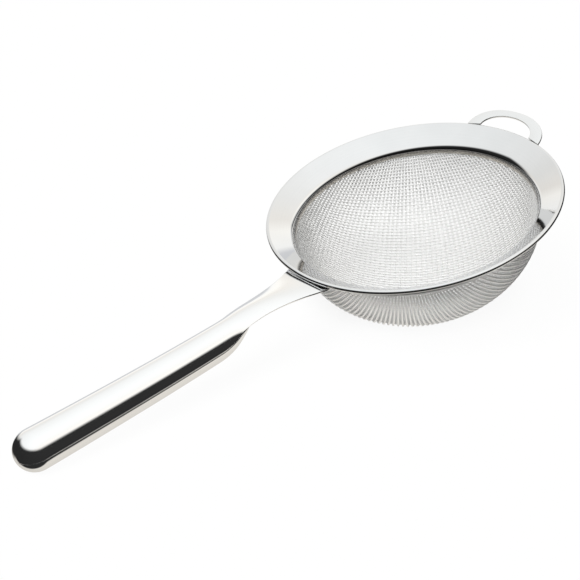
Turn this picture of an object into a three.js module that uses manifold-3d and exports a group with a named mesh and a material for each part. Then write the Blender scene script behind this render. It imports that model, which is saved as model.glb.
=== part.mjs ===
// Mesh strainer: a funnel rim with a woven wire bowl, a tubular handle and a rest loop.
// Millimetres, +Z up. The strainer is drawn level, with the centre of the rim's bead in the
// plane z = 0 and the rim's axis on Z, the handle towards -X and the loop towards +X. It is then
// laid down as it rests on a table, on the bottom of its bowl and on the end of its handle.
import * as THREE from 'three';
import { mergeVertices } from 'three/addons/utils/BufferGeometryUtils.js';
import Module from 'manifold-3d';

// Rim: a sheet with a rolled bead, a sloping flange and an upright collar.
const rimRadius = 80;
const rimSheet = 0.8;
const beadRadius = 1.2;
const flangeSlope = THREE.MathUtils.degToRad(34);
const collarRadius = 65.4;
const collarDepth = 11.5;
const bendRadius = 6;

// Wire cloth and the band that clamps its hem to the collar.
const clothThickness = 1.2;
const bowlDepth = 64;
const hemTop = -10;
const ringSheet = 0.8;
const ringTop = -9.9;
const ringBottom = -11.2;
const ringEdgeRounding = 0.25;

// Plain grid of openings that stands for the fine weave. The bars lie in planes that fan out in
// even steps from two lines, which cross on the rim's axis above the rim.
const openingsAcross = 12;
const barWidth = 3.9;
const fanHeight = 29;
const gridTurn = Math.PI / 4;
const openingsTop = -14.5;

// Handle: drawn along its own +X, which starts at the rim's axis and climbs away from the rim.
const endRadius = 9.9;
const gripStartRadius = 8.75;
const handleSheet = 1;
const handleRise = THREE.MathUtils.degToRad(6.88);
const handleStartHeight = -19.1;
const gripEnd = 238.5;
const bowMiddle = 187.5;
const bowHalfLength = 50.8;
const neckBow = 0.75;
const endBow = 0.4;
const gripStart = 140;
const noseTip = 124;
const noseLength = 19;

// Rest loop: an arch cut from flat strap, which climbs away from the rim.
const loopReach = 12.3;
const loopHalfWidth = 25.2;
const loopSquareness = 2.16;
const loopGapReach = 8.1;
const loopGapHalfWidth = 17.2;
const loopThickness = 1.2;
const loopTilt = THREE.MathUtils.degToRad(20.5);
const loopFootHeight = 0.3;

// Weld beads and the clearance between pieces that touch.
const loopWeldRadius = 0.55;
const neckWeldRadius = 0.6;
const neckWeldLength = 20;
const fitGap = 0.3;

// Roundness of the drawn surfaces.
const turnSteps = 72;
const bowlTurnSteps = 48;
const bowlSteps = 9;
const shellSteps = 16;
const endSteps = 5;
const archSteps = 20;
const sameVertex = 1e-3;

const steel = { color: 0xd4d5d6, roughness: 0.18, metalness: 1 };
const satinSteel = { color: 0xc4c5c6, roughness: 0.35, metalness: 1 };
const wireSteel = { color: 0xbfc0c0, roughness: 0.4, metalness: 1 };
const weldSteel = { color: 0x9c9a97, roughness: 0.5, metalness: 1 };

function signedVolume(geometry) {
  const corners = [new THREE.Vector3(), new THREE.Vector3(), new THREE.Vector3()];
  const index = geometry.index;
  let volume = 0;
  for (let first = 0; first < index.count; first += 3) {
    corners.forEach((corner, side) => {
      corner.fromBufferAttribute(geometry.attributes.position, index.getX(first + side));
    });
    volume += corners[0].dot(corners[1].cross(corners[2])) / 6;
  }
  return volume;
}

// One closed body with shared vertices, no collapsed triangles and its faces pointing out.
function closedSolid(geometry) {
  geometry.deleteAttribute('normal');
  geometry.deleteAttribute('uv');
  const merged = mergeVertices(geometry, sameVertex);
  const kept = [];
  for (let first = 0; first < merged.index.count; first += 3) {
    const triangle = [0, 1, 2].map((side) => merged.index.getX(first + side));
    if (new Set(triangle).size === 3) {
      kept.push(triangle);
    }
  }
  merged.setIndex(kept.flat());
  if (signedVolume(merged) < 0) {
    merged.setIndex(kept.map(([a, b, c]) => [a, c, b]).flat());
  }
  merged.computeVertexNormals();
  return merged;
}

// A skin over rings with equal numbers of points; the first and last ring are folded shut.
function loftRings(rings) {
  const count = rings[0].length;
  const indices = [];
  for (let row = 0; row + 1 < rings.length; row += 1) {
    for (let step = 0; step < count; step += 1) {
      const here = row * count + step;
      const next = row * count + (step + 1) % count;
      indices.push(here, next, next + count);
      indices.push(here, next + count, here + count);
    }
  }
  const geometry = new THREE.BufferGeometry().setFromPoints(rings.flat());
  geometry.setIndex(indices);
  return closedSolid(geometry);
}

function turned(profile, steps = turnSteps) {
  const lathe = new THREE.LatheGeometry(profile, steps);
  lathe.rotateX(Math.PI / 2);
  return closedSolid(lathe);
}

function arcPoints(centre, radius, from, to, steps) {
  return Array.from({ length: steps + 1 }, (_, step) => {
    const angle = THREE.MathUtils.lerp(from, to, step / steps);
    return new THREE.Vector2(Math.cos(angle), Math.sin(angle)).multiplyScalar(radius).add(centre);
  });
}

const wasm = await Module();
wasm.setup();

function solidOf(geometry) {
  const vertProperties = new Float32Array(geometry.attributes.position.array);
  const triVerts = new Uint32Array(geometry.index.array);
  return new wasm.Manifold(new wasm.Mesh({ numProp: 3, vertProperties, triVerts }));
}

function geometryOf(solid) {
  const { vertProperties, triVerts } = solid.getMesh();
  const geometry = new THREE.BufferGeometry();
  geometry.setAttribute('position', new THREE.BufferAttribute(vertProperties, 3));
  geometry.setIndex(new THREE.BufferAttribute(triVerts, 1));
  return closedSolid(geometry);
}

function piece(name, geometry, finish) {
  const mesh = new THREE.Mesh(geometry, new THREE.MeshStandardMaterial(finish));
  mesh.name = name;
  return mesh;
}

// Rim. The flange's upper face runs tangent over the bead; its underside ends on the bead.
const beadCentre = new THREE.Vector2(rimRadius - beadRadius, 0);
const flangeNormalAngle = Math.PI / 2 + flangeSlope;
const flangeFaceHeight = (radius) => (
  beadRadius / Math.cos(flangeSlope) + (radius - beadCentre.x) * Math.tan(flangeSlope)
);

function rimFlange() {
  const bendX = collarRadius + bendRadius;
  const bendCentre = new THREE.Vector2(bendX, flangeFaceHeight(bendX) - bendRadius / Math.cos(flangeSlope));
  const undersideOffset = beadRadius - rimSheet;
  const curlEnd = flangeNormalAngle + Math.acos(undersideOffset / beadRadius) - 2 * Math.PI;
  const profile = [
    new THREE.Vector2(collarRadius, -collarDepth),
    ...arcPoints(bendCentre, bendRadius, Math.PI, flangeNormalAngle, 8),
    ...arcPoints(beadCentre, beadRadius, flangeNormalAngle, curlEnd, 12),
    ...arcPoints(bendCentre, bendRadius - rimSheet, flangeNormalAngle, Math.PI, 6),
    new THREE.Vector2(collarRadius + rimSheet, -collarDepth),
    new THREE.Vector2(collarRadius, -collarDepth),
  ];
  return piece('rim_flange', turned(profile), steel);
}

// Bowl. Half an ellipse below the collar, and a straight hem standing outside the collar.
const clothInside = collarRadius + rimSheet + fitGap;
const clothOutside = clothInside + clothThickness;
const bowlHeight = bowlDepth - collarDepth;

function bowlCurve(radius, height) {
  return Array.from({ length: bowlSteps + 1 }, (_, step) => {
    const angle = (step / bowlSteps) * (Math.PI / 2);
    return new THREE.Vector2(radius * Math.sin(angle), -collarDepth - height * Math.cos(angle));
  });
}

// An opening is a wedge whose sides spread from the point where the two lines cross. Wedges at the
// edge of the grid are cut round by a cone from the same point.
const fanReach = { near: 20, far: 110 };
const topRise = (openingsTop + collarDepth) / bowlHeight;
const coneLean = (clothOutside * Math.sqrt(1 - topRise ** 2)) / (fanHeight - openingsTop);
const fanStep = (2 * Math.atan(coneLean)) / openingsAcross;
const openAngle = fanStep - barWidth / (fanHeight + bowlDepth);
const leanAt = (place) => Math.tan(fanStep * place);

function openingWedge(column, row) {
  const wedge = new THREE.BoxGeometry(openAngle / fanStep, openAngle / fanStep, 1);
  const corner = wedge.attributes.position;
  for (let index = 0; index < corner.count; index += 1) {
    const reach = corner.getZ(index) > 0 ? fanReach.near : fanReach.far;
    const across = reach * leanAt(column + corner.getX(index));
    const along = reach * leanAt(row + corner.getY(index));
    corner.setXYZ(index, across, along, fanHeight - reach);
  }
  wedge.rotateZ(gridTurn);
  return solidOf(closedSolid(wedge));
}

function openingsCone() {
  return solidOf(turned([
    new THREE.Vector2(0, fanHeight - fanReach.far),
    new THREE.Vector2(coneLean * fanReach.far, fanHeight - fanReach.far),
    new THREE.Vector2(0, fanHeight),
  ]));
}

function meshBowl() {
  const profile = [
    ...bowlCurve(clothOutside, bowlHeight),
    new THREE.Vector2(clothOutside, hemTop),
    new THREE.Vector2(clothInside, hemTop),
    ...bowlCurve(clothInside, bowlHeight - clothThickness).reverse(),
  ];
  const cone = openingsCone();
  const places = Array.from({ length: openingsAcross }, (_, step) => step + 0.5 - openingsAcross / 2);
  let bowl = solidOf(turned(profile, bowlTurnSteps));
  for (const column of places) {
    for (const row of places) {
      if (Math.hypot(leanAt(column), leanAt(row)) < coneLean) {
        bowl = bowl.subtract(openingWedge(column, row).intersect(cone));
      }
    }
  }
  return piece('mesh_bowl', geometryOf(bowl), wireSteel);
}

function retainingRing() {
  const inside = clothOutside + fitGap;
  const outside = inside + ringSheet;
  const corner = ringEdgeRounding;
  const profile = [
    new THREE.Vector2(inside, ringBottom + corner),
    new THREE.Vector2(inside + corner, ringBottom),
    new THREE.Vector2(outside - corner, ringBottom),
    new THREE.Vector2(outside, ringBottom + corner),
    new THREE.Vector2(outside, ringTop - corner),
    new THREE.Vector2(outside - corner, ringTop),
    new THREE.Vector2(inside + corner, ringTop),
    new THREE.Vector2(inside, ringTop - corner),
    new THREE.Vector2(inside, ringBottom + corner),
  ];
  return piece('retaining_ring', turned(profile), satinSteel);
}

// Handle. The top shell is an arc at every station: a half circle along the grip, flattening
// into the neck. Heights are measured from the grip's centre line, which bows gently upwards.
const neckStations = [
  { x: 76.2, halfWidth: 14.6, edge: 3.6, crown: 4.1 },
  { x: 78, halfWidth: 15.3, edge: 3.8, crown: 4.3 },
  { x: 81, halfWidth: 14.2, edge: 4, crown: 4.7 },
  { x: 91, halfWidth: 11.2, edge: 4.6, crown: 5.9 },
  { x: 101, halfWidth: 9.2, edge: 5.3, crown: 7.2 },
  { x: 111, halfWidth: 8.3, edge: 5.7, crown: 8.2 },
  { x: 119, halfWidth: 8.25, edge: 5.6, crown: 8.6 },
  { x: 126, halfWidth: 8.4, edge: 4.6, crown: 8.65 },
  { x: 133, halfWidth: 8.6, edge: 1.6, crown: 8.7 },
  { x: gripStart, halfWidth: gripStartRadius, edge: 0, crown: gripStartRadius },
];
const neckStepLength = 2.5;

const gripRadius = (x) => THREE.MathUtils.mapLinear(x, gripStart, gripEnd, gripStartRadius, endRadius);
const centreLine = (x) => (x < bowMiddle ? neckBow : endBow) * ((x - bowMiddle) / bowHalfLength) ** 2;

function neckSection(x) {
  if (x >= gripStart) {
    return { x, halfWidth: gripRadius(x), edge: 0, crown: gripRadius(x) };
  }
  const upper = Math.max(1, neckStations.findIndex((station) => station.x >= x));
  const near = neckStations.slice(Math.max(0, upper - 2), upper + 2);
  const [low, high] = [neckStations[upper - 1], neckStations[upper]];
  const share = (x - low.x) / (high.x - low.x);
  const smooth = (key) => {
    const before = near[0] === low ? low[key] : near[0][key];
    const after = near[near.length - 1] === high ? high[key] : near[near.length - 1][key];
    const path = new THREE.SplineCurve([before, low[key], high[key], after].map((value, step) => (
      new THREE.Vector2(step, value)
    )));
    return path.getPoint((1 + share) / 3).y;
  };
  return { x, halfWidth: smooth('halfWidth'), edge: smooth('edge'), crown: smooth('crown') };
}

function arcOf({ halfWidth, edge, crown }) {
  const rise = crown - edge;
  const radius = (halfWidth ** 2 + rise ** 2) / (2 * rise);
  return { radius, centre: crown - radius, spread: Math.atan2(halfWidth, radius - rise) };
}

function archLine(x, arc, inset) {
  return Array.from({ length: shellSteps + 1 }, (_, step) => {
    const angle = arc.spread * (2 * step / shellSteps - 1);
    const reach = arc.radius - inset;
    const height = centreLine(x) + arc.centre + reach * Math.cos(angle);
    return new THREE.Vector3(x, reach * Math.sin(angle), height);
  });
}

// A half circle across the round end, swung about the centre of the end's sphere.
function endLine(lift, radius, depth, swing) {
  return Array.from({ length: shellSteps + 1 }, (_, step) => {
    const angle = Math.PI * (step / shellSteps - 0.5);
    return new THREE.Vector3(
      gripEnd + radius * Math.sin(swing),
      radius * Math.cos(swing) * Math.sin(angle),
      centreLine(gripEnd) + lift + depth * Math.cos(swing) * Math.cos(angle),
    );
  });
}

function stationsBetween(from, to, longestStep) {
  const count = Math.ceil((to - from) / longestStep);
  return Array.from({ length: count + 1 }, (_, step) => THREE.MathUtils.lerp(from, to, step / count));
}

const ringOf = (outside, inside) => [...outside, ...inside.toReversed()];
const endSwings = Array.from({ length: endSteps }, (_, step) => ((step + 1) / endSteps) * (Math.PI / 2));
const gripStations = stationsBetween(gripStart, gripEnd, 22).slice(1);

function handleTopShell() {
  const neckEnd = neckStations[0];
  const neckMiddle = archLine(neckEnd.x, arcOf(neckEnd), handleSheet / 2);
  const rings = [ringOf(neckMiddle, neckMiddle)];
  for (const x of [...stationsBetween(neckEnd.x, gripStart, neckStepLength), ...gripStations]) {
    const arc = arcOf(neckSection(x));
    rings.push(ringOf(archLine(x, arc, 0), archLine(x, arc, handleSheet)));
  }
  for (const swing of endSwings) {
    const inside = endRadius - handleSheet;
    rings.push(ringOf(endLine(0, endRadius, endRadius, swing), endLine(0, inside, inside, swing)));
  }
  return piece('handle_top_shell', loftRings(rings), steel);
}

// The bottom shell hangs from the top shell's edges and swells from the nose to a half circle.
const noseSwell = (x) => Math.sqrt(1 - (1 - THREE.MathUtils.clamp((x - noseTip) / noseLength, 0, 1)) ** 2);

function hangingLine(x, halfWidth, edge, depth) {
  return Array.from({ length: shellSteps + 1 }, (_, step) => {
    const angle = Math.PI * (step / shellSteps - 0.5);
    return new THREE.Vector3(x, halfWidth * Math.sin(angle), centreLine(x) + edge - depth * Math.cos(angle));
  });
}

function bottomSection(x) {
  const section = neckSection(x);
  const edge = section.edge - handleSheet * Math.cos(arcOf(section).spread) - fitGap;
  const fullDepth = gripRadius(x) + edge;
  const depth = fullDepth * noseSwell(x);
  const hollow = Math.max(0, fullDepth * noseSwell(x - handleSheet) - handleSheet);
  return { halfWidth: section.halfWidth, edge, depth, hollow };
}

function handleBottomShell() {
  const tip = bottomSection(noseTip);
  const tipLine = hangingLine(noseTip, tip.halfWidth - handleSheet / 2, tip.edge, 0);
  const rings = [ringOf(tipLine, tipLine)];
  const noseShares = [0.03, 0.1, 0.2, 0.32, 0.46, 0.62, 0.8, 1];
  const noseStations = noseShares.map((share) => noseTip + share * noseLength);
  for (const x of [...noseStations, ...stationsBetween(noseTip + noseLength, gripEnd, 22).slice(1)]) {
    const { halfWidth, edge, depth, hollow } = bottomSection(x);
    const inside = hangingLine(x, halfWidth - handleSheet, edge, hollow);
    rings.push(ringOf(hangingLine(x, halfWidth, edge, depth), inside));
  }
  for (const swing of endSwings) {
    const inside = endRadius - handleSheet;
    const outer = endLine(-fitGap, endRadius, fitGap - endRadius, swing);
    rings.push(ringOf(outer, endLine(-fitGap, inside, fitGap - inside, swing)));
  }
  return piece('handle_bottom_shell', loftRings(rings), steel);
}

// Rest loop. Its outer edge is a squared arch, its gap is half an ellipse, and its feet are cut
// to the curve of the rim's bead. The strap is drawn flat about the middle of its feet.
const footRadius = rimRadius + fitGap;
const archStart = (halfWidth) => Math.sqrt(footRadius ** 2 - halfWidth ** 2);
const footMiddle = (loopHalfWidth + loopGapHalfWidth) / 2;

function arch(reach, halfWidth, squareness) {
  const foot = archStart(halfWidth);
  const length = rimRadius + reach - foot;
  return Array.from({ length: archSteps + 1 }, (_, step) => {
    const angle = Math.PI * (step / archSteps - 0.5);
    const along = Math.cos(angle) ** (2 / squareness);
    const across = Math.sign(Math.sin(angle)) * Math.abs(Math.sin(angle)) ** (2 / squareness);
    return new THREE.Vector2(foot + length * along - archStart(footMiddle), halfWidth * across);
  });
}

function restLoop() {
  const outline = [
    ...arch(loopReach, loopHalfWidth, loopSquareness),
    ...arch(loopGapReach, loopGapHalfWidth, 2).reverse(),
  ];
  const thickness = { depth: loopThickness, bevelEnabled: false };
  const strap = new THREE.ExtrudeGeometry(new THREE.Shape(outline), thickness);
  return piece('rest_loop', closedSolid(strap), steel);
}

// Weld beads: short rounded bars in the corners that they fill.
function weldBead(name, radius, length) {
  return piece(name, closedSolid(new THREE.CapsuleGeometry(radius, length - 2 * radius, 4, 8)), weldSteel);
}

function loopWeld(name, side) {
  const weld = weldBead(name, loopWeldRadius, loopHalfWidth - loopGapHalfWidth - 1);
  const turn = Math.asin(footMiddle / footRadius);
  weld.position.set(loopWeldRadius, side * footMiddle, -loopWeldRadius - fitGap);
  weld.rotation.z = side * turn;
  return weld;
}

function neckWeld() {
  const weld = weldBead('neck_weld', neckWeldRadius, neckWeldLength);
  const reach = neckStations[0].x - 2;
  const underside = flangeFaceHeight(reach) - rimSheet / Math.cos(flangeSlope);
  const height = underside - (neckWeldRadius + fitGap) / Math.cos(flangeSlope);
  weld.position.set(-reach, 0, height);
  return weld;
}

const handle = new THREE.Group();
handle.add(handleTopShell(), handleBottomShell());
handle.rotation.set(0, -handleRise, Math.PI, 'ZYX');
handle.position.z = handleStartHeight;

const loop = new THREE.Group();
loop.add(restLoop(), loopWeld('loop_weld_left', 1), loopWeld('loop_weld_right', -1));
loop.rotation.y = -loopTilt;
loop.position.set(archStart(footMiddle), 0, loopFootHeight);

const level = new THREE.Group();
level.add(rimFlange(), meshBowl(), retainingRing(), neckWeld(), handle, loop);

// The tilt at which the bowl's bottom and the round end of the handle are equally low.
function restTilt() {
  const endHeight = centreLine(gripEnd);
  const endReach = gripEnd * Math.cos(handleRise) - endHeight * Math.sin(handleRise);
  const endLift = handleStartHeight + gripEnd * Math.sin(handleRise) + endHeight * Math.cos(handleRise);
  const handleLowest = (tilt) => endLift * Math.cos(tilt) - endReach * Math.sin(tilt) - endRadius;
  const bowlLowest = (tilt) => (
    -collarDepth * Math.cos(tilt) - Math.hypot(clothOutside * Math.sin(tilt), bowlHeight * Math.cos(tilt))
  );
  let [small, large] = [0, Math.PI / 4];
  for (let round = 0; round < 40; round += 1) {
    const middle = (small + large) / 2;
    if (handleLowest(middle) > bowlLowest(middle)) {
      small = middle;
    } else {
      large = middle;
    }
  }
  return small;
}

level.rotation.y = -restTilt();
const strainer = new THREE.Group();
strainer.add(level);

// The origin is on the table, under the middle of the strainer's box.
const extent = new THREE.Box3().setFromObject(strainer, true);
const middle = extent.getCenter(new THREE.Vector3());
level.position.set(-middle.x, -middle.y, -extent.min.z);

export default strainer;
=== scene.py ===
import math

import bmesh
import bpy
import numpy as np
from mathutils import Matrix, Vector


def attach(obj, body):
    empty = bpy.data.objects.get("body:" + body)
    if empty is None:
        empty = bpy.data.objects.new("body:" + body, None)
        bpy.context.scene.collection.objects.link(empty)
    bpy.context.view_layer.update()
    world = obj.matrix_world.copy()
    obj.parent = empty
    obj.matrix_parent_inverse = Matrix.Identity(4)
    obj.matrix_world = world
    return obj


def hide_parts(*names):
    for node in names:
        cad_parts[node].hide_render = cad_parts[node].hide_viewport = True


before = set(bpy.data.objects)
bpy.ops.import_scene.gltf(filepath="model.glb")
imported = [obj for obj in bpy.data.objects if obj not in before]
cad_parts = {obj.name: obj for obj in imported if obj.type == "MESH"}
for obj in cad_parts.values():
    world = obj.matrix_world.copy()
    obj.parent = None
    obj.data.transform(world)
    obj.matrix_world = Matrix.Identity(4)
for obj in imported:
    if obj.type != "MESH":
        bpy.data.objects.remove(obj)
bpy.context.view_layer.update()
scene = bpy.context.scene
print("frame loaded:", len(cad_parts), "nodes")

# the strainer is drawn level, in millimetres, with the rim's bead centred on z 0,
# and then laid down as it rests on the table
millimetre = 0.001
mergeReach = 1e-4  # points closer than this are one, while a piece is still in millimetres
rest = {"tilt": 15.794717, "shift": (76.924949, 0.0, 64.839495)}
levelTurn = Matrix.Rotation(math.radians(-rest["tilt"]), 4, "Y")
laidDown = Matrix.Scale(millimetre, 4) @ Matrix.Translation(rest["shift"]) @ levelTurn


# camera, from the outline of the rim, the bowl and the handle in the photograph
view = {"place": (-0.306688, -0.350543, 0.272044), "turn": (63.1385, 0.2059, -40.4614),
        "lens": 63.932, "sensor": 36}
camera = bpy.data.objects.new("camera", bpy.data.cameras.new("camera"))
camera.data.lens = view["lens"]
camera.data.sensor_width = view["sensor"]
camera.location = view["place"]
camera.rotation_euler = [math.radians(angle) for angle in view["turn"]]
scene.collection.objects.link(camera)
scene.camera = camera
scene.view_settings.view_transform = "Standard"


class Flow:
    # a value in a node tree; sums and products of flows add their Math nodes
    def __init__(self, tree, socket=None):
        self.tree = tree
        self.socket = socket

    def add(self, kind, settings=None, inputs=None, output=0):
        node = self.tree.nodes.new(kind)
        for name, value in (settings or {}).items():
            if name == "stops":
                while len(node.color_ramp.elements) < len(value):
                    node.color_ramp.elements.new(1.0)
                for stop, (place, colour) in zip(node.color_ramp.elements, value):
                    stop.position = place
                    stop.color = (*colour, 1)
            else:
                setattr(node, name, value)
        for name, value in (inputs or {}).items():
            if isinstance(value, Flow):
                self.tree.links.new(value.socket, node.inputs[name])
            else:
                node.inputs[name].default_value = value
        return Flow(self.tree, node.outputs[output] if node.outputs else None)

    def calc(self, operation, first, second):
        return self.add("ShaderNodeMath", {"operation": operation}, {0: first, 1: second})

    def __add__(self, other):
        return self.calc("ADD", self, other)

    def __sub__(self, other):
        return self.calc("SUBTRACT", self, other)

    def __rsub__(self, other):
        return self.calc("SUBTRACT", other, self)

    def __mul__(self, other):
        return self.calc("MULTIPLY", self, other)

    __radd__ = __add__
    __rmul__ = __mul__


def newMaterial(name):
    material = bpy.data.materials.new(name)
    material.use_nodes = True
    material.node_tree.nodes.clear()
    return material, Flow(material.node_tree)


def closeMaterial(flow, shader):
    flow.add("ShaderNodeOutputMaterial", None, {"Surface": shader})


# the colours of a Mix node are its sockets 6 and 7 and its output 2
def mixColour(flow, share, first, second, blend="MIX"):
    return flow.add("ShaderNodeMix", {"data_type": "RGBA", "blend_type": blend},
                    {"Factor": share, 6: first, 7: second}, 2)


def noiseAt(flow, place, scale, detail):
    return flow.add("ShaderNodeTexNoise", None, {"Vector": place, "Scale": scale, "Detail": detail})


def bumpFrom(flow, height, strength, depth):
    return flow.add("ShaderNodeBump", None, {
        "Strength": strength, "Distance": depth * millimetre, "Height": height})


# steel with a fine grain: round the rim's axis on turned pieces, lengthwise on drawn ones
grain = {"stretch": 0.012, "detail": 3.0, "roughness": 0.6, "cloudDetail": 4.0, "middle": 0.5,
         "cloudTone": 0.6, "lineTone": 0.4, "depth": 0.1}


def steelMaterial(name, look):
    material, flow = newMaterial(name)
    place = flow.add("ShaderNodeTexCoord", None, None, "Object")
    own = flow.add("ShaderNodeMapping", {"vector_type": "TEXTURE"}, {
        "Vector": place,
        "Location": [value * millimetre for value in look["centre"]],
        "Rotation": [math.radians(value) for value in look["axis"]],
    })
    fine = {"Scale": look["fine"], "Detail": grain["detail"], "Roughness": grain["roughness"]}
    if look["grain"] == "turned":
        flat = flow.add("ShaderNodeVectorMath", {"operation": "MULTIPLY"}, {0: own, 1: (1, 1, 0)})
        reach = flow.add("ShaderNodeVectorMath", {"operation": "LENGTH"}, {0: flat}, "Value")
        lines = flow.add("ShaderNodeTexNoise", {"noise_dimensions": "1D"}, {"W": reach, **fine})
    else:
        stretch = (grain["stretch"], 1, 1)
        drawn = flow.add("ShaderNodeVectorMath", {"operation": "MULTIPLY"}, {0: own, 1: stretch})
        lines = flow.add("ShaderNodeTexNoise", None, {"Vector": drawn, **fine})
    cloud = noiseAt(flow, own, look["cloud"], grain["cloudDetail"])
    rough = (look["rough"] + (lines - grain["middle"]) * look["grainRough"]
             + (cloud - grain["middle"]) * look["cloudRough"])
    tone = mixColour(flow, cloud * grain["cloudTone"] + lines * grain["lineTone"],
                     (*look["dark"], 1), (*look["light"], 1))
    if "paintedShadeRamp" in look:  # painted shade: the inner edge's bend gets a warm grey band and then a dark band multiplied into its colour
        share = (reach - look["paintedShadeStart"] * millimetre) * (1 / (look["paintedShadeWidth"] * millimetre))
        paintedShadeBand = flow.add("ShaderNodeValToRGB", {"stops": look["paintedShadeRamp"]}, {"Fac": share})
        tone = mixColour(flow, 1.0, tone, paintedShadeBand, "MULTIPLY")
    relief = bumpFrom(flow, lines, look["relief"], grain["depth"])
    closeMaterial(flow, flow.add("ShaderNodeBsdfPrincipled", None, {
        "Base Color": tone, "Metallic": look["metal"], "Roughness": rough, "Normal": relief}))
    return material


levelAxis = {"centre": rest["shift"], "axis": (0, -rest["tilt"], 0)}
# the rim's colour carries painted shade in the collar's bend: a warm grey band and a dark band round the
# inner edge
rimSteel = steelMaterial("rimSteel", {
    **levelAxis, "metal": 1.0, "grain": "turned", "fine": 2600, "cloud": 60, "rough": 0.045,
    "grainRough": 0.03, "cloudRough": 0.04, "dark": (0.74, 0.745, 0.75), "light": (0.87, 0.87, 0.87),
    "relief": 0.008, "paintedShadeStart": 65.4, "paintedShadeWidth": 2.0,
    "paintedShadeRamp": [(0.0, (0.72, 0.68, 0.62)), (0.06, (0.5, 0.47, 0.44)), (0.24, (0.22, 0.22, 0.22)),
               (0.58, (1, 1, 1))]})
ringSteel = steelMaterial("ringSteel", {
    **levelAxis, "metal": 0.5, "grain": "turned", "fine": 1800, "cloud": 90, "rough": 0.3,
    "grainRough": 0.12, "cloudRough": 0.08, "dark": (0.88, 0.875, 0.87), "light": (0.95, 0.945, 0.94),
    "relief": 0.08})
handleSteel = steelMaterial("handleSteel", {
    "centre": rest["shift"], "axis": (0, -8.956, 0), "metal": 1.0, "grain": "drawn", "fine": 1500,
    "cloud": 45, "rough": 0.1, "grainRough": 0.06, "cloudRough": 0.05, "dark": (0.92, 0.92, 0.92),
    "light": (0.97, 0.97, 0.97), "relief": 0.04})
loopSteel = steelMaterial("loopSteel", {
    "centre": rest["shift"], "axis": (0, -36.3, 0), "metal": 1.0, "grain": "drawn", "fine": 1700,
    "cloud": 80, "rough": 0.12, "grainRough": 0.07, "cloudRough": 0.05, "dark": (0.82, 0.82, 0.815),
    "light": (0.9, 0.9, 0.895), "relief": 0.04})


# drawn wire: a satin finish with fine scratches
wireLook = {"tint": 70.0, "tintDetail": 3.0, "scratch": 2400.0, "scratchDetail": 2.0,
            "dark": (0.9, 0.9, 0.895, 1), "light": (0.96, 0.96, 0.955, 1), "metal": 0.57,
            "rough": 0.26, "scratchRough": 0.14, "relief": 0.1, "depth": 0.05}


def wireMaterial():
    material, flow = newMaterial("wireSteel")
    place = flow.add("ShaderNodeTexCoord", None, None, "Object")
    tint = noiseAt(flow, place, wireLook["tint"], wireLook["tintDetail"])
    scratch = noiseAt(flow, place, wireLook["scratch"], wireLook["scratchDetail"])
    closeMaterial(flow, flow.add("ShaderNodeBsdfPrincipled", None, {
        "Base Color": mixColour(flow, tint, wireLook["dark"], wireLook["light"]),
        "Metallic": wireLook["metal"],
        "Roughness": wireLook["rough"] + scratch * wireLook["scratchRough"],
        "Normal": bumpFrom(flow, scratch, wireLook["relief"], wireLook["depth"])}))
    return material


# weld filler: patches of heat colour and small pits
weldLook = {"patch": 420.0, "patchDetail": 4.0,
            "heat": [(0.35, (0.5, 0.46, 0.4)), (0.68, (0.68, 0.67, 0.66))],
            "pits": 1900.0, "pitDetail": 3.0, "metal": 1.0, "rough": 0.3, "patchRough": 0.25,
            "relief": 0.35, "depth": 0.1}


def weldMaterial():
    material, flow = newMaterial("weldSteel")
    place = flow.add("ShaderNodeTexCoord", None, None, "Object")
    patch = noiseAt(flow, place, weldLook["patch"], weldLook["patchDetail"])
    pits = noiseAt(flow, place, weldLook["pits"], weldLook["pitDetail"])
    closeMaterial(flow, flow.add("ShaderNodeBsdfPrincipled", None, {
        "Base Color": flow.add("ShaderNodeValToRGB", {"stops": weldLook["heat"]}, {"Fac": patch}),
        "Metallic": weldLook["metal"],
        "Roughness": weldLook["rough"] + patch * weldLook["patchRough"],
        "Normal": bumpFrom(flow, pits, weldLook["relief"], weldLook["depth"])}))
    return material


wireSteel = wireMaterial()
weldSteel = weldMaterial()
print("materials made")


def arcPoints(centre, radius, start, stop, steps):
    angles = [math.radians(start + (stop - start) * step / steps) for step in range(steps + 1)]
    return [(centre[0] + radius * math.cos(angle), centre[1] + radius * math.sin(angle)) for angle in angles]


def spunBody(profile, steps):
    bm = bmesh.new()
    verts = [bm.verts.new((reach, 0, height)) for reach, height in profile]
    edges = [bm.edges.new(pair) for pair in zip(verts, verts[1:] + verts[:1])]
    bmesh.ops.spin(bm, geom=verts + edges, cent=(0, 0, 0), axis=(0, 0, 1), angle=math.tau,
                   steps=steps, use_merge=True)
    bmesh.ops.remove_doubles(bm, verts=bm.verts, dist=mergeReach)
    bmesh.ops.recalc_face_normals(bm, faces=bm.faces)
    return bm


def placeObject(piece, material, replaced):
    scene.collection.objects.link(piece)
    piece.data.materials.append(material)
    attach(piece, "root")
    if replaced:
        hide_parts(*replaced)
    return piece


def placeMesh(name, bm, material, replaced=(), sharp=40):
    bmesh.ops.transform(bm, matrix=laidDown, verts=bm.verts)
    mesh = bpy.data.meshes.new(name)
    bm.to_mesh(mesh)
    bm.free()
    mesh.polygons.foreach_set("use_smooth", [True] * len(mesh.polygons))
    mesh.set_sharp_from_angle(angle=math.radians(sharp))
    print(name, len(mesh.polygons), "faces")
    return placeObject(bpy.data.objects.new(name, mesh), material, replaced)


# rim: rolled bead, sloping flange and upright collar
rim = {"radius": 80.0, "sheet": 0.8, "bead": 1.2, "slope": 34.0, "collar": 65.4, "collarDepth": 11.5,
       "bend": 6.0, "steps": 288, "bendSteps": 20, "beadSteps": 36, "innerBendSteps": 14, "lipSteps": 8}


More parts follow.
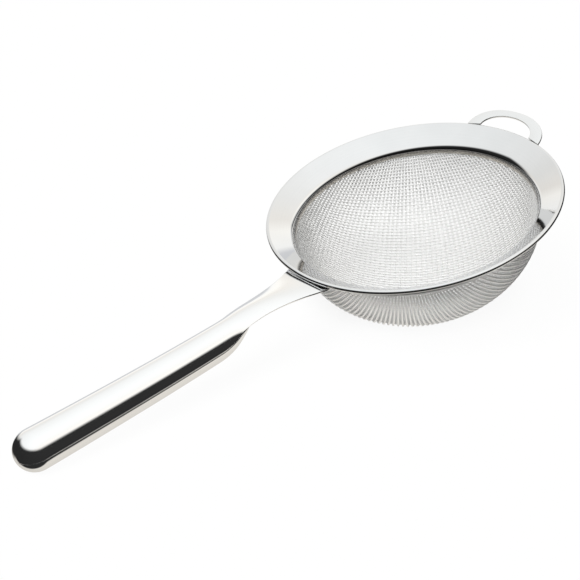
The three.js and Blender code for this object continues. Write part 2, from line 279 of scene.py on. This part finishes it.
def rimProfile():
    slope = math.radians(rim["slope"])
    bead = (rim["radius"] - rim["bead"], 0.0)
    bendReach = rim["collar"] + rim["bend"]
    faceHeight = rim["bead"] / math.cos(slope) + (bendReach - bead[0]) * math.tan(slope)
    bend = (bendReach, faceHeight - rim["bend"] / math.cos(slope))
    normal = 90 + rim["slope"]
    curlEnd = normal + math.degrees(math.acos((rim["bead"] - rim["sheet"]) / rim["bead"])) - 360
    lip = rim["sheet"] / 2
    return [
        *arcPoints(bend, rim["bend"], 180, normal, rim["bendSteps"]),
        *arcPoints(bead, rim["bead"], normal, curlEnd, rim["beadSteps"]),
        *arcPoints(bend, rim["bend"] - rim["sheet"], normal, 180, rim["innerBendSteps"]),
        *arcPoints((rim["collar"] + lip, lip - rim["collarDepth"]), lip, 0, -180, rim["lipSteps"]),
    ]


placeMesh("rim", spunBody(rimProfile(), rim["steps"]), rimSteel, ["rim_flange"])


# wire cloth: two families of wires, each lying in planes that fan out evenly from a line above the bowl,
# the warp outside and the weft inside it
cloth = {
    "radius": 67.1, "depth": 51.9, "top": -11.5, "hemTop": -10.0, "fan": 29.0, "arm": 91.8, "turn": 42.35,
    "roundness": 2, "pathSteps": 1200, "hemSteps": 12,
    "warp": {"pitch": 3.12, "wire": 1.17, "crimp": 0.04, "lift": -0.06, "samples": 1, "pieces": 1},
    "weft": {"pitch": 2.08, "wire": 0.77, "crimp": 0.1, "lift": -0.88, "samples": 2, "pieces": 2},
}


# one wire of a family: its points, as along, across and height, and the way out of the bowl at each
def wirePath(number, pitch):
    radius, squash = cloth["radius"], (cloth["radius"] / cloth["depth"]) ** 2
    rise = cloth["fan"] - cloth["top"]
    lean = math.tan(number * pitch / cloth["arm"])
    half = math.sqrt(max(0.0, radius ** 2 - (lean * rise) ** 2))
    along = half * np.sin(np.linspace(-math.pi / 2, math.pi / 2, cloth["pathSteps"]))
    part = lean ** 2 + squash
    inner = np.maximum(0, (lean ** 2 * rise) ** 2 - part * ((lean * rise) ** 2 + along ** 2 - radius ** 2))
    height = cloth["top"] + (lean ** 2 * rise - np.sqrt(inner)) / part
    hem = np.linspace(cloth["hemTop"], cloth["top"], cloth["hemSteps"])[:-1]
    hemAlong = np.sqrt(np.maximum(0, radius ** 2 - (lean * (cloth["fan"] - hem)) ** 2))
    along = np.concatenate([-hemAlong, along, hemAlong[::-1]])
    height = np.concatenate([hem, height, hem[::-1]])
    across = lean * (cloth["fan"] - height)
    outward = np.stack([along, across, np.minimum(height - cloth["top"], 0) * squash], 1)
    outward /= np.linalg.norm(outward, axis=1)[:, None]
    return np.stack([along, across, height], 1), outward


# a wire in its own layer, sampled evenly between the crossings, with a slight wave from one to the next
def wovenPath(number, own, other, side):
    path, outward = wirePath(number, own["pitch"])
    crossing = np.arctan2(path[:, 0], cloth["fan"] - path[:, 2]) * cloth["arm"] / other["pitch"]
    crossing = np.maximum.accumulate(crossing + np.arange(len(path)) * 1e-9)  # always rising
    even = np.linspace(crossing[0], crossing[-1], int((crossing[-1] - crossing[0]) * own["samples"]) + 2)
    place = np.stack([np.interp(even, crossing, path[:, axis]) for axis in range(3)], 1)
    away = np.stack([np.interp(even, crossing, outward[:, axis]) for axis in range(3)], 1)
    return place + away * (own["lift"] + side * own["crimp"] * np.cos(math.pi * (even + number)))[:, None]


def wirePiece(name, numbers, own, other, side, turn):
    curve = bpy.data.curves.new(name, "CURVE")
    curve.dimensions = "3D"
    curve.bevel_depth = own["wire"] / 2 * millimetre
    curve.bevel_resolution = cloth["roundness"]
    curve.use_fill_caps = True
    swing = laidDown @ Matrix.Rotation(math.radians(turn), 4, "Z")
    for number in numbers:
        points = wovenPath(number, own, other, side)
        wire = curve.splines.new("POLY")
        wire.points.add(len(points) - 1)
        for point, place in zip(wire.points, points):
            point.co = (*(swing @ Vector(place)), 1)
        wire.use_smooth = True
    print(name, len(curve.splines), "wires,", sum(len(wire.points) for wire in curve.splines), "points")
    placeObject(bpy.data.objects.new(name, curve), wireSteel, ["mesh_bowl"])


def wireFamily(name, own, other, side, turn):
    widest = math.atan2(cloth["radius"], cloth["fan"] - cloth["top"]) * cloth["arm"]
    spread = int(widest / own["pitch"])
    numbers = range(-spread, spread + 1)
    for piece in range(own["pieces"]):
        share = numbers[piece * len(numbers) // own["pieces"]:(piece + 1) * len(numbers) // own["pieces"]]
        wirePiece(name + "ABC"[piece], share, own, other, side, turn)


wireFamily("clothWarp", cloth["warp"], cloth["weft"], 1, cloth["turn"])
wireFamily("clothWeft", cloth["weft"], cloth["warp"], -1, cloth["turn"] + 90)


# band that clamps the cloth's hem to the collar
ring = {"inside": 67.95, "sheet": 0.85, "top": -9.9, "bottom": -11.2, "rounding": 0.35, "steps": 240,
        "cornerSteps": 5}


def ringProfile():
    low, high = ring["bottom"] + ring["rounding"], ring["top"] - ring["rounding"]
    left, right = ring["inside"] + ring["rounding"], ring["inside"] + ring["sheet"] - ring["rounding"]
    return [
        *arcPoints((right, low), ring["rounding"], -90, 0, ring["cornerSteps"]),
        *arcPoints((right, high), ring["rounding"], 0, 90, ring["cornerSteps"]),
        *arcPoints((left, high), ring["rounding"], 90, 180, ring["cornerSteps"]),
        *arcPoints((left, low), ring["rounding"], 180, 270, ring["cornerSteps"]),
    ]


placeMesh("clampRing", spunBody(ringProfile(), ring["steps"]), ringSteel, ["retaining_ring"])


# handle: drawn along its own x, which starts at the rim's axis and climbs away from the rim
handle = {
    "rise": 6.88, "start": -19.1, "sheet": 1.0, "end": 238.5, "endRadius": 9.9, "gripStart": 140.0,
    "gripStartRadius": 8.75, "bowMiddle": 187.5, "bowHalf": 50.8, "neckBow": 0.75, "endBow": 0.4,
    "noseTip": 124.0, "noseLength": 19.0, "arcSteps": 40, "neckSteps": 60, "gripSteps": 24, "endSteps": 16,
    "edge": 0.1, "edgeSegments": 2, "edgeAngle": 50,
    # shares of the nose's length where its sections lie, closer at its blunt tip
    "noseShares": [0.004, 0.015, 0.035, 0.06, 0.1, 0.15, 0.21, 0.28, 0.36, 0.45, 0.55, 0.66, 0.78, 0.9, 1],
    # place along the handle, half width, height of the edges, height of the crown
    "neck": [(76.2, 14.6, 3.6, 4.1), (78, 15.3, 3.8, 4.3), (81, 14.2, 4, 4.7), (91, 11.2, 4.6, 5.9),
             (101, 9.2, 5.3, 7.2), (111, 8.3, 5.7, 8.2), (119, 8.25, 5.6, 8.6), (126, 8.4, 4.6, 8.65),
             (133, 8.6, 1.6, 8.7), (140, 8.75, 0, 8.75)],
}
handlePlace = (Matrix.Translation((0, 0, handle["start"])) @ Matrix.Rotation(math.pi, 4, "Z")
               @ Matrix.Rotation(math.radians(-handle["rise"]), 4, "Y"))


def centreLine(x):
    bow = handle["neckBow"] if x < handle["bowMiddle"] else handle["endBow"]
    return bow * ((x - handle["bowMiddle"]) / handle["bowHalf"]) ** 2


def gripRadius(x):
    share = (x - handle["gripStart"]) / (handle["end"] - handle["gripStart"])
    return handle["gripStartRadius"] + share * (handle["endRadius"] - handle["gripStartRadius"])


def throughPoints(before, low, high, after, share):
    start, stop = (high - before) / 2, (after - low) / 2
    bend = -3 * low + 3 * high - 2 * start - stop
    return ((2 * low - 2 * high + start + stop) * share + bend) * share ** 2 + start * share + low


# half width, height of the edges and height of the crown at a place along the handle
def neckSection(x):
    if x >= handle["gripStart"]:
        return gripRadius(x), 0.0, gripRadius(x)
    stations = handle["neck"]
    upper = next(spot for spot in range(1, len(stations)) if stations[spot][0] >= x)
    near = [stations[min(max(spot, 0), len(stations) - 1)] for spot in range(upper - 2, upper + 2)]
    share = (x - near[1][0]) / (near[2][0] - near[1][0])
    return [throughPoints(*(station[key] for station in near), share) for key in (1, 2, 3)]


def topLine(x):
    halfWidth, edge, crown = neckSection(x)
    rise = crown - edge
    radius = (halfWidth ** 2 + rise ** 2) / (2 * rise)
    spread = math.atan2(halfWidth, radius - rise)
    angles = [spread * (2 * step / handle["arcSteps"] - 1) for step in range(handle["arcSteps"] + 1)]
    base = centreLine(x) + crown - radius
    return [(x, radius * math.sin(angle), base + radius * math.cos(angle)) for angle in angles]


def noseSwell(x):
    share = min(max((x - handle["noseTip"]) / handle["noseLength"], 0), 1)
    return math.sqrt(1 - (1 - share) ** 2)


def bottomLine(x):
    halfWidth, edge = neckSection(x)[:2]
    depth = (gripRadius(x) + edge) * noseSwell(x)
    angles = [math.pi * (step / handle["arcSteps"] - 0.5) for step in range(handle["arcSteps"] + 1)]
    base = centreLine(x) + edge
    return [(x, halfWidth * math.sin(angle), base - depth * math.cos(angle)) for angle in angles]


def endLine(swing, side):
    radius = handle["endRadius"]
    angles = [math.pi * (step / handle["arcSteps"] - 0.5) for step in range(handle["arcSteps"] + 1)]
    base = centreLine(handle["end"])
    return [(handle["end"] + radius * math.sin(swing), radius * math.cos(swing) * math.sin(angle),
             base + side * radius * math.cos(swing) * math.cos(angle)) for angle in angles]


def sheetThrough(lines):
    bm = bmesh.new()
    rows = []
    for line in lines:
        verts = [bm.verts.new(point) for point in line]
        rows.append([bm.edges.new(pair) for pair in zip(verts, verts[1:])])
    for row, nextRow in zip(rows, rows[1:]):
        bmesh.ops.bridge_loops(bm, edges=row + nextRow)
    bmesh.ops.remove_doubles(bm, verts=bm.verts, dist=mergeReach)
    bmesh.ops.recalc_face_normals(bm, faces=bm.faces)
    bmesh.ops.transform(bm, matrix=handlePlace, verts=bm.verts)
    return bm


def evenly(start, stop, steps):
    return [start + (stop - start) * step / steps for step in range(steps + 1)]


def addSheet(piece):
    sheet = piece.modifiers.new("sheet", "SOLIDIFY")
    sheet.thickness = handle["sheet"] * millimetre
    sheet.offset = -1
    soft = piece.modifiers.new("softEdge", "BEVEL")
    soft.width = handle["edge"] * millimetre
    soft.segments = handle["edgeSegments"]
    soft.limit_method = "ANGLE"
    soft.angle_limit = math.radians(handle["edgeAngle"])


gripPlaces = evenly(handle["gripStart"], handle["end"], handle["gripSteps"])[1:]
endSwings = [swing * math.pi / 2 for swing in evenly(0, 1, handle["endSteps"])[1:]]
neckPlaces = evenly(handle["neck"][0][0], handle["gripStart"], handle["neckSteps"])
topLines = [topLine(x) for x in neckPlaces + gripPlaces]
topLines += [endLine(swing, 1) for swing in endSwings]
topShell = placeMesh("handleTop", sheetThrough(topLines), handleSteel, ["handle_top_shell"])
addSheet(topShell)

nosePlaces = [handle["noseTip"] + share * handle["noseLength"] for share in handle["noseShares"]]
bottomLines = [bottomLine(x) for x in nosePlaces]
bottomLines += [bottomLine(x) for x in evenly(nosePlaces[-1], handle["end"], handle["gripSteps"])[1:]]
bottomLines += [endLine(swing, -1) for swing in endSwings]
bottomShell = placeMesh("handleBottom", sheetThrough(bottomLines), handleSteel,
                        ["handle_bottom_shell"])
addSheet(bottomShell)


# rest loop: an arch cut from flat strap, climbing away from the rim
loop = {"reach": 12.3, "halfWidth": 25.2, "squareness": 2.16, "gapReach": 8.1, "gapHalfWidth": 17.2,
        "gapSquareness": 2, "thickness": 1.2, "tilt": 20.5, "footHeight": 0.3, "footGap": 0.1, "edge": 0.25,
        "edgeSegments": 3, "edgeAngle": 60, "steps": 72}
footMiddle = (loop["halfWidth"] + loop["gapHalfWidth"]) / 2
footRadius = rim["radius"] + loop["footGap"]


def archStart(halfWidth):
    return math.sqrt(footRadius ** 2 - halfWidth ** 2)


loopPlace = (Matrix.Translation((archStart(footMiddle), 0, loop["footHeight"]))
             @ Matrix.Rotation(math.radians(-loop["tilt"]), 4, "Y"))


def archPoints(reach, halfWidth, squareness):
    foot = archStart(halfWidth)
    points = []
    for angle in evenly(-math.pi / 2, math.pi / 2, loop["steps"]):
        along = abs(math.cos(angle)) ** (2 / squareness)
        across = math.copysign(abs(math.sin(angle)) ** (2 / squareness), angle)
        length = rim["radius"] + reach - foot
        points.append((foot + length * along - archStart(footMiddle), halfWidth * across, 0))
    return points


def loopStrap():
    bm = bmesh.new()
    rows = []
    for points in (archPoints(loop["reach"], loop["halfWidth"], loop["squareness"]),
                   archPoints(loop["gapReach"], loop["gapHalfWidth"], loop["gapSquareness"])):
        verts = [bm.verts.new(point) for point in points]
        rows.append([bm.edges.new(pair) for pair in zip(verts, verts[1:])])
    bmesh.ops.bridge_loops(bm, edges=rows[0] + rows[1])
    raised = bmesh.ops.extrude_face_region(bm, geom=bm.faces[:], use_keep_orig=True)["geom"]
    bmesh.ops.translate(bm, vec=(0, 0, loop["thickness"]),
                        verts=[item for item in raised if isinstance(item, bmesh.types.BMVert)])
    bmesh.ops.recalc_face_normals(bm, faces=bm.faces)
    corners = [edge for edge in bm.edges if edge.calc_face_angle(0) > math.radians(loop["edgeAngle"])]
    bmesh.ops.bevel(bm, geom=corners, offset=loop["edge"], offset_type="OFFSET", affect="EDGES",
                    segments=loop["edgeSegments"], profile=0.5, material=-1)
    bmesh.ops.transform(bm, matrix=loopPlace, verts=bm.verts)
    return bm


placeMesh("restLoop", loopStrap(), loopSteel, ["rest_loop"])


# weld beads: rippled runs of filler in the corners that they fill
weld = {"loopRadius": 0.62, "loopMargin": 1, "loopOut": 0.6, "loopDown": 0.8, "neckRadius": 0.75,
        "neckLength": 21.0, "neckBehind": 2, "neckGap": 0.15, "ripple": 0.1, "rippleLength": 1.4,
        "endPower": 6, "samples": 60, "roundness": 3}


def weldRun(name, start, stop, radius, node):
    curve = bpy.data.curves.new(name, "CURVE")
    curve.dimensions = "3D"
    curve.bevel_depth = radius * millimetre
    curve.bevel_resolution = weld["roundness"]
    run = curve.splines.new("POLY")
    run.points.add(weld["samples"])
    length = (stop - start).length
    for step, point in enumerate(run.points):
        share = step / weld["samples"]
        point.co = (*(laidDown @ start.lerp(stop, share)), 1)
        ends = math.sqrt(max(0.0, 1 - abs(2 * share - 1) ** weld["endPower"]))
        wave = math.sin(math.tau * share * length / weld["rippleLength"])
        point.radius = ends * (1 + weld["ripple"] * wave)
    run.use_smooth = True
    return placeObject(bpy.data.objects.new(name, curve), weldSteel, [node])


def loopWeld(name, side, node):
    turn = math.asin(footMiddle / footRadius)
    half = (loop["halfWidth"] - loop["gapHalfWidth"] - weld["loopMargin"]) / 2
    radius = weld["loopRadius"]
    middle = Vector((radius * weld["loopOut"], side * footMiddle, -radius * weld["loopDown"]))
    way = Vector((-math.sin(turn) * side, math.cos(turn), 0)) * half
    weldRun(name, loopPlace @ (middle - way), loopPlace @ (middle + way), radius, node)


loopWeld("loopWeldLeft", 1, "loop_weld_left")
loopWeld("loopWeldRight", -1, "loop_weld_right")
neckReach = handle["neck"][0][0] - weld["neckBehind"]
neckSlope = math.radians(rim["slope"])
neckHeight = ((neckReach - rim["radius"] + rim["bead"]) * math.tan(neckSlope)
              + (rim["bead"] - rim["sheet"] - weld["neckRadius"] - weld["neckGap"]) / math.cos(neckSlope))
weldRun("neckWeld", Vector((-neckReach, -weld["neckLength"] / 2, neckHeight)),
        Vector((-neckReach, weld["neckLength"] / 2, neckHeight)), weld["neckRadius"], "neck_weld")
print("welds made")


# floor, white to the camera, with the soft shadow kept under the bowl
floor = {"size": 8.0, "colour": (0.92, 0.91, 0.89, 1), "shade": (0.106, 0.034, 0), "shadeEdge": (0.03, 0.085),
         "shadeWhite": 0.72, "white": 0.97}


def floorMaterial():
    material, flow = newMaterial("floorPaper")
    path = "ShaderNodeLightPath"
    direct = flow.add(path, None, None, "Is Camera Ray") + flow.add(path, None, None, "Is Transmission Ray")
    place = flow.add("ShaderNodeTexCoord", None, None, "Object")
    reach = flow.add("ShaderNodeVectorMath", {"operation": "DISTANCE"},
                     {0: place, 1: floor["shade"]}, "Value")
    white = flow.add("ShaderNodeMapRange", {"interpolation_type": "SMOOTHSTEP"}, {
        "Value": reach, "From Min": floor["shadeEdge"][0], "From Max": floor["shadeEdge"][1],
        "To Min": floor["shadeWhite"], "To Max": floor["white"]})
    paper = flow.add("ShaderNodeBsdfDiffuse", None, {"Color": floor["colour"]})
    glow = flow.add("ShaderNodeEmission", None, {"Color": (1, 1, 1, 1), "Strength": 1.0})
    closeMaterial(flow, flow.add("ShaderNodeMixShader", None, {0: direct * white, 1: paper, 2: glow}))
    return material


def floorSheet():
    half = floor["size"] / 2
    bm = bmesh.new()
    corners = [(-half, -half, 0), (half, -half, 0), (half, half, 0), (-half, half, 0)]
    bmesh.ops.contextual_create(bm, geom=[bm.verts.new(corner) for corner in corners])
    mesh = bpy.data.meshes.new("floor")
    bm.to_mesh(mesh)
    bm.free()
    sheet = bpy.data.objects.new("floor", mesh)
    scene.collection.objects.link(sheet)
    mesh.materials.append(floorMaterial())
    sheet.visible_glossy = False


floorSheet()


# one wide soft lamp, high to the left of the camera; the metal mirrors the studio in its place
lamp = {"side": -164.0, "height": 50.0, "spread": 30.0, "glow": 1.3}
softLamp = bpy.data.objects.new("softLamp", bpy.data.lights.new("softLamp", "SUN"))
softLamp.data.angle = math.radians(lamp["spread"])
softLamp.data.energy = lamp["glow"] * math.pi
softLamp.rotation_euler = (math.radians(90 - lamp["height"]), 0, math.radians(lamp["side"] + 90))
softLamp.visible_glossy = False
scene.collection.objects.link(softLamp)


# studio: a pale tent overhead, a backdrop behind, a table below and darkness round the camera
studio = {
    "plain": 0.16, "dark": 0.025, "table": (0.72, 0.69, 0.64, 1), "dimming": -0.12, "panelLean": -0.4,
    "cameraSide": (-0.743, -0.669, 0), "backdropSide": (0.399, 0.917, 0), "dimSide": (-0.423, 0.906, 0),
    "panelSide": (0.917, -0.399, 0), "tentEdge": (0.36, 0.62), "backdropEdge": (0.78, 1.02),
    "backdropRise": 0.8, "wallSide": (0.643, 0.766, 0), "wallEdge": (0.72, 0.86),
    "tableEdge": (0.4, 0.62), "tableSlope": 2.1,
    "pale": [(0.0, (0.7, 0.71, 0.73)), (0.1, (0.76, 0.77, 0.79)), (0.15, (1.1, 1.1, 1.08)),
             (0.3, (1.14, 1.12, 1.07)), (0.4, (0.99, 0.96, 0.91)), (0.58, (0.96, 0.96, 0.94)),
             (0.78, (1.02, 1.03, 1.025)), (1.0, (1.04, 1.06, 1.06))],
}


def studioWorld():
    world = bpy.data.worlds.new("studio")
    world.use_nodes = True
    world.node_tree.nodes.clear()
    air = Flow(world.node_tree)
    way = air.add("ShaderNodeTexCoord", None, None, "Generated")
    height = air.add("ShaderNodeSeparateXYZ", None, {"Vector": way}, "Z")

    def toward(side):
        return air.add("ShaderNodeVectorMath", {"operation": "DOT_PRODUCT"}, {0: way, 1: side}, "Value")

    def rising(value, edge):
        return air.add("ShaderNodeMapRange", {"interpolation_type": "SMOOTHSTEP"}, {
            "Value": value, "From Min": edge[0], "From Max": edge[1]})

    tent = rising(height, studio["tentEdge"])
    sheet = rising(toward(studio["backdropSide"]) + height * studio["backdropRise"], studio["backdropEdge"])
    backdrop = air.calc("MAXIMUM", sheet, rising(toward(studio["wallSide"]), studio["wallEdge"]))
    reach = air.calc("MAXIMUM", toward(studio["cameraSide"]), 0.0)
    table = rising(height * -1.0 - reach * studio["tableSlope"], studio["tableEdge"])
    pale = air.add("ShaderNodeValToRGB", {"stops": studio["pale"]}, {
        "Fac": height + toward(studio["panelSide"]) * studio["panelLean"]})
    dark = (studio["dark"], studio["dark"], studio["dark"], 1)
    around = mixColour(air, air.calc("MAXIMUM", tent, backdrop), dark, pale)
    mirrored = mixColour(air, table, around, studio["table"])
    path = "ShaderNodeLightPath"
    glossy = air.add(path, None, None, "Is Glossy Ray")
    seen = air.add(path, None, None, "Is Camera Ray") + air.add(path, None, None, "Is Transmission Ray")
    level = toward(studio["dimSide"]) * studio["dimming"] + (1 - studio["plain"])
    strength = studio["plain"] + seen * (1 - studio["plain"]) + glossy * level
    air.add("ShaderNodeOutputWorld", None, {"Surface": air.add("ShaderNodeBackground", None, {
        "Color": mixColour(air, glossy, (1, 1, 1, 1), mirrored), "Strength": strength})})
    return world


scene.world = studioWorld()
print("stage made")
